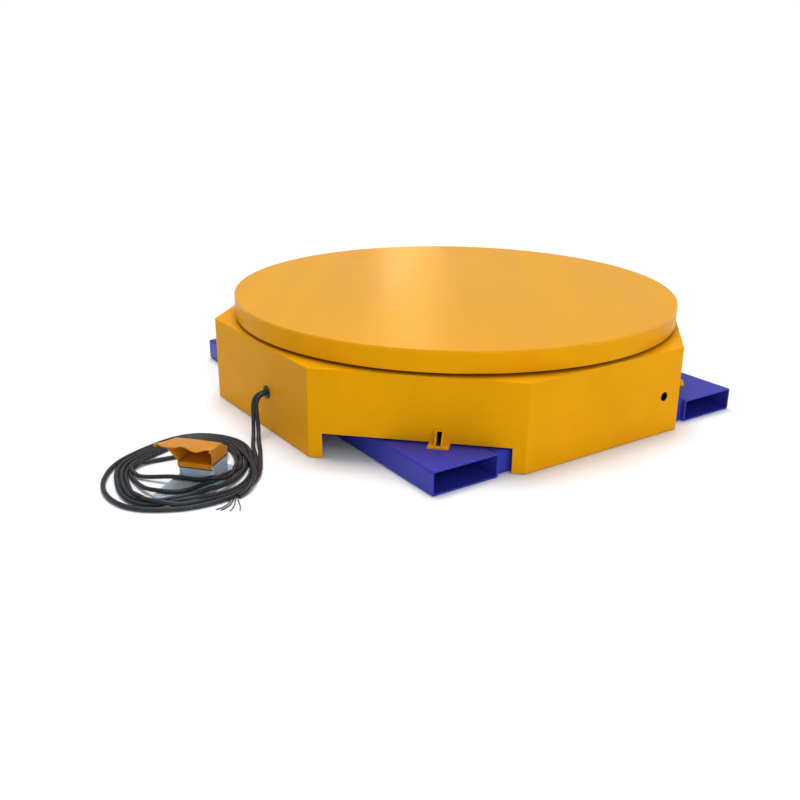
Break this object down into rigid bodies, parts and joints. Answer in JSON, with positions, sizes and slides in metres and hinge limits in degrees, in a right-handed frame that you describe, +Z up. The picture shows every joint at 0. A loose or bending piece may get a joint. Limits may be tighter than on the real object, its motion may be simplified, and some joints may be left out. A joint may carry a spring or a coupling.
{
  "type": "pallet wrapping turntable",
  "caption": "Low powered turntable for wrapping pallets: round steel deck over an eight-sided skirt, fork pockets through the base, foot switch and cables on the floor",
  "frame": {"origin": "on the turning axis, at floor level, on the bottom of the base frame's centre beam", "axes": "+Z up along the turning axis; the fork pockets run along Y, and -Y is the front; the cables leave through the -X side"},
  "size_m": [2.083, 1.51, 0.345],
  "materials": {
    "yellow_deck": "semi-gloss paint on a rolled steel plate",
    "yellow_paint": "semi-gloss powder coat",
    "blue_paint": "semi-gloss enamel",
    "machined_steel": "machined, oiled",
    "black_bolts": "black oxide",
    "grey_enamel": "semi-gloss enamel on castings",
    "box_grey": "textured powder coat",
    "black_rubber": "moulded, matte",
    "cable_sheath": "extruded rubber sheath, slight sheen",
    "core_insulation": "smooth insulation",
    "roller_nylon": "cast nylon",
    "switch_grey": "hammered enamel on a die casting",
    "switch_orange": "gloss enamel on a die casting",
    "black_plastic": "moulded"
  },
  "bodies": {
    "base": {"base_plate": "blue_paint", "cable_coil": "cable_sheath", "cable_grommet": "black_rubber", "cables_inside": "cable_sheath", "centre_beam": "blue_paint", "control_box": "box_grey", "control_box_glands": "black_plastic", "control_box_lid": "box_grey", "cross_tubes": "blue_paint", "drive_motor": "grey_enamel", "foot_switch_base": "switch_grey", "foot_switch_contact_block": "black_plastic", "foot_switch_feet": "black_rubber", "foot_switch_gland": "black_plastic", "foot_switch_guard": "switch_orange", "foot_switch_pivot_pin": "machined_steel", "foot_switch_spring": "machined_steel", "fork_tube_left": "blue_paint", "fork_tube_right": "blue_paint", "gearbox_housing": "grey_enamel", "gearbox_mount_plate": "blue_paint", "motor_fan_cowl": "grey_enamel", "motor_terminal_box": "grey_enamel", "pedal_cable_run": "cable_sheath", "pedal_cable_tail": "cable_sheath", "pedestal": "blue_paint", "pedestal_bolts": "black_bolts", "power_cable_conductors": "core_insulation", "power_cable_run": "cable_sheath", "roller_axles": "machined_steel", "roller_stands": "blue_paint", "skirt_corner_straps": "yellow_paint", "skirt_lug_bolts": "black_bolts", "skirt_lugs": "yellow_paint", "skirt_panel_front": "yellow_paint", "skirt_panel_left": "yellow_paint", "skirt_panel_rear": "yellow_paint", "skirt_panel_right": "yellow_paint", "skirt_top_flange": "yellow_paint", "slewing_inner_ring": "machined_steel"},
    "turntable": {"deck_plate": "yellow_deck", "deck_rim": "yellow_paint", "deck_hub_ring": "yellow_paint", "deck_ribs": "yellow_paint", "roller_track": "machined_steel", "slewing_gear_ring": "machined_steel", "deck_bolts": "black_bolts"},
    "pinion": {"drive_pinion": "machined_steel", "output_shaft": "machined_steel", "pinion_retainer": "machined_steel"},
    "ball_set": {"slewing_balls": "machined_steel"},
    "roller_1": {"support_roller_1": "roller_nylon"},
    "roller_2": {"support_roller_2": "roller_nylon"},
    "roller_3": {"support_roller_3": "roller_nylon"},
    "roller_4": {"support_roller_4": "roller_nylon"},
    "roller_5": {"support_roller_5": "roller_nylon"},
    "roller_6": {"support_roller_6": "roller_nylon"},
    "roller_7": {"support_roller_7": "roller_nylon"},
    "roller_8": {"support_roller_8": "roller_nylon"},
    "treadle": {"foot_switch_treadle": "switch_orange"}
  },
  "joints": [
    {"name": "turntable_spin", "type": "hinge", "parent": "base", "child": "turntable", "pos_m": [0, 0, 0.337], "axis": [0, 0, 1], "continuous": true},
    {"name": "pinion_spin", "type": "hinge", "parent": "base", "child": "pinion", "pos_m": [0, 0.3, 0.28], "axis": [0, 0, 1], "continuous": true},
    {"name": "ball_set_spin", "type": "hinge", "parent": "base", "child": "ball_set", "pos_m": [0, 0, 0.282], "axis": [0, 0, 1], "continuous": true},
    {"name": "roller_1_spin", "type": "hinge", "parent": "base", "child": "roller_1", "pos_m": [0.59128, 0.24492, 0.2907], "axis": [0.9239, 0.3827, 0], "continuous": true},
    {"name": "roller_2_spin", "type": "hinge", "parent": "base", "child": "roller_2", "pos_m": [0.24492, 0.59128, 0.2907], "axis": [0.3827, 0.9239, 0], "continuous": true},
    {"name": "roller_3_spin", "type": "hinge", "parent": "base", "child": "roller_3", "pos_m": [-0.24492, 0.59128, 0.2907], "axis": [-0.3827, 0.9239, 0], "continuous": true},
    {"name": "roller_4_spin", "type": "hinge", "parent": "base", "child": "roller_4", "pos_m": [-0.59128, 0.24492, 0.2907], "axis": [-0.9239, 0.3827, 0], "continuous": true},
    {"name": "roller_5_spin", "type": "hinge", "parent": "base", "child": "roller_5", "pos_m": [-0.59128, -0.24492, 0.2907], "axis": [-0.9239, -0.3827, 0], "continuous": true},
    {"name": "roller_6_spin", "type": "hinge", "parent": "base", "child": "roller_6", "pos_m": [-0.24492, -0.59128, 0.2907], "axis": [-0.3827, -0.9239, 0], "continuous": true},
    {"name": "roller_7_spin", "type": "hinge", "parent": "base", "child": "roller_7", "pos_m": [0.24492, -0.59128, 0.2907], "axis": [0.3827, -0.9239, 0], "continuous": true},
    {"name": "roller_8_spin", "type": "hinge", "parent": "base", "child": "roller_8", "pos_m": [0.59128, -0.24492, 0.2907], "axis": [0.9239, -0.3827, 0], "continuous": true},
    {"name": "treadle_press", "type": "hinge", "parent": "base", "child": "treadle", "pos_m": [-1.03923, -0.26615, 0.057], "axis": [0.6428, -0.766, 0], "range_deg": [0, 8], "stiffness_Nm_per_rad": 6, "springref_deg": -6.88, "deforming": ["foot_switch_spring"]}
  ],
  "couplings": [
    {"joint": "pinion_spin", "follows": "turntable_spin", "ratio": -5},
    {"joint": "ball_set_spin", "follows": "turntable_spin", "ratio": 0.5},
    {"joint": "roller_1_spin", "follows": "turntable_spin", "ratio": -16},
    {"joint": "roller_2_spin", "follows": "turntable_spin", "ratio": -16},
    {"joint": "roller_3_spin", "follows": "turntable_spin", "ratio": -16},
    {"joint": "roller_4_spin", "follows": "turntable_spin", "ratio": -16},
    {"joint": "roller_5_spin", "follows": "turntable_spin", "ratio": -16},
    {"joint": "roller_6_spin", "follows": "turntable_spin", "ratio": -16},
    {"joint": "roller_7_spin", "follows": "turntable_spin", "ratio": -16},
    {"joint": "roller_8_spin", "follows": "turntable_spin", "ratio": -16}
  ]
}
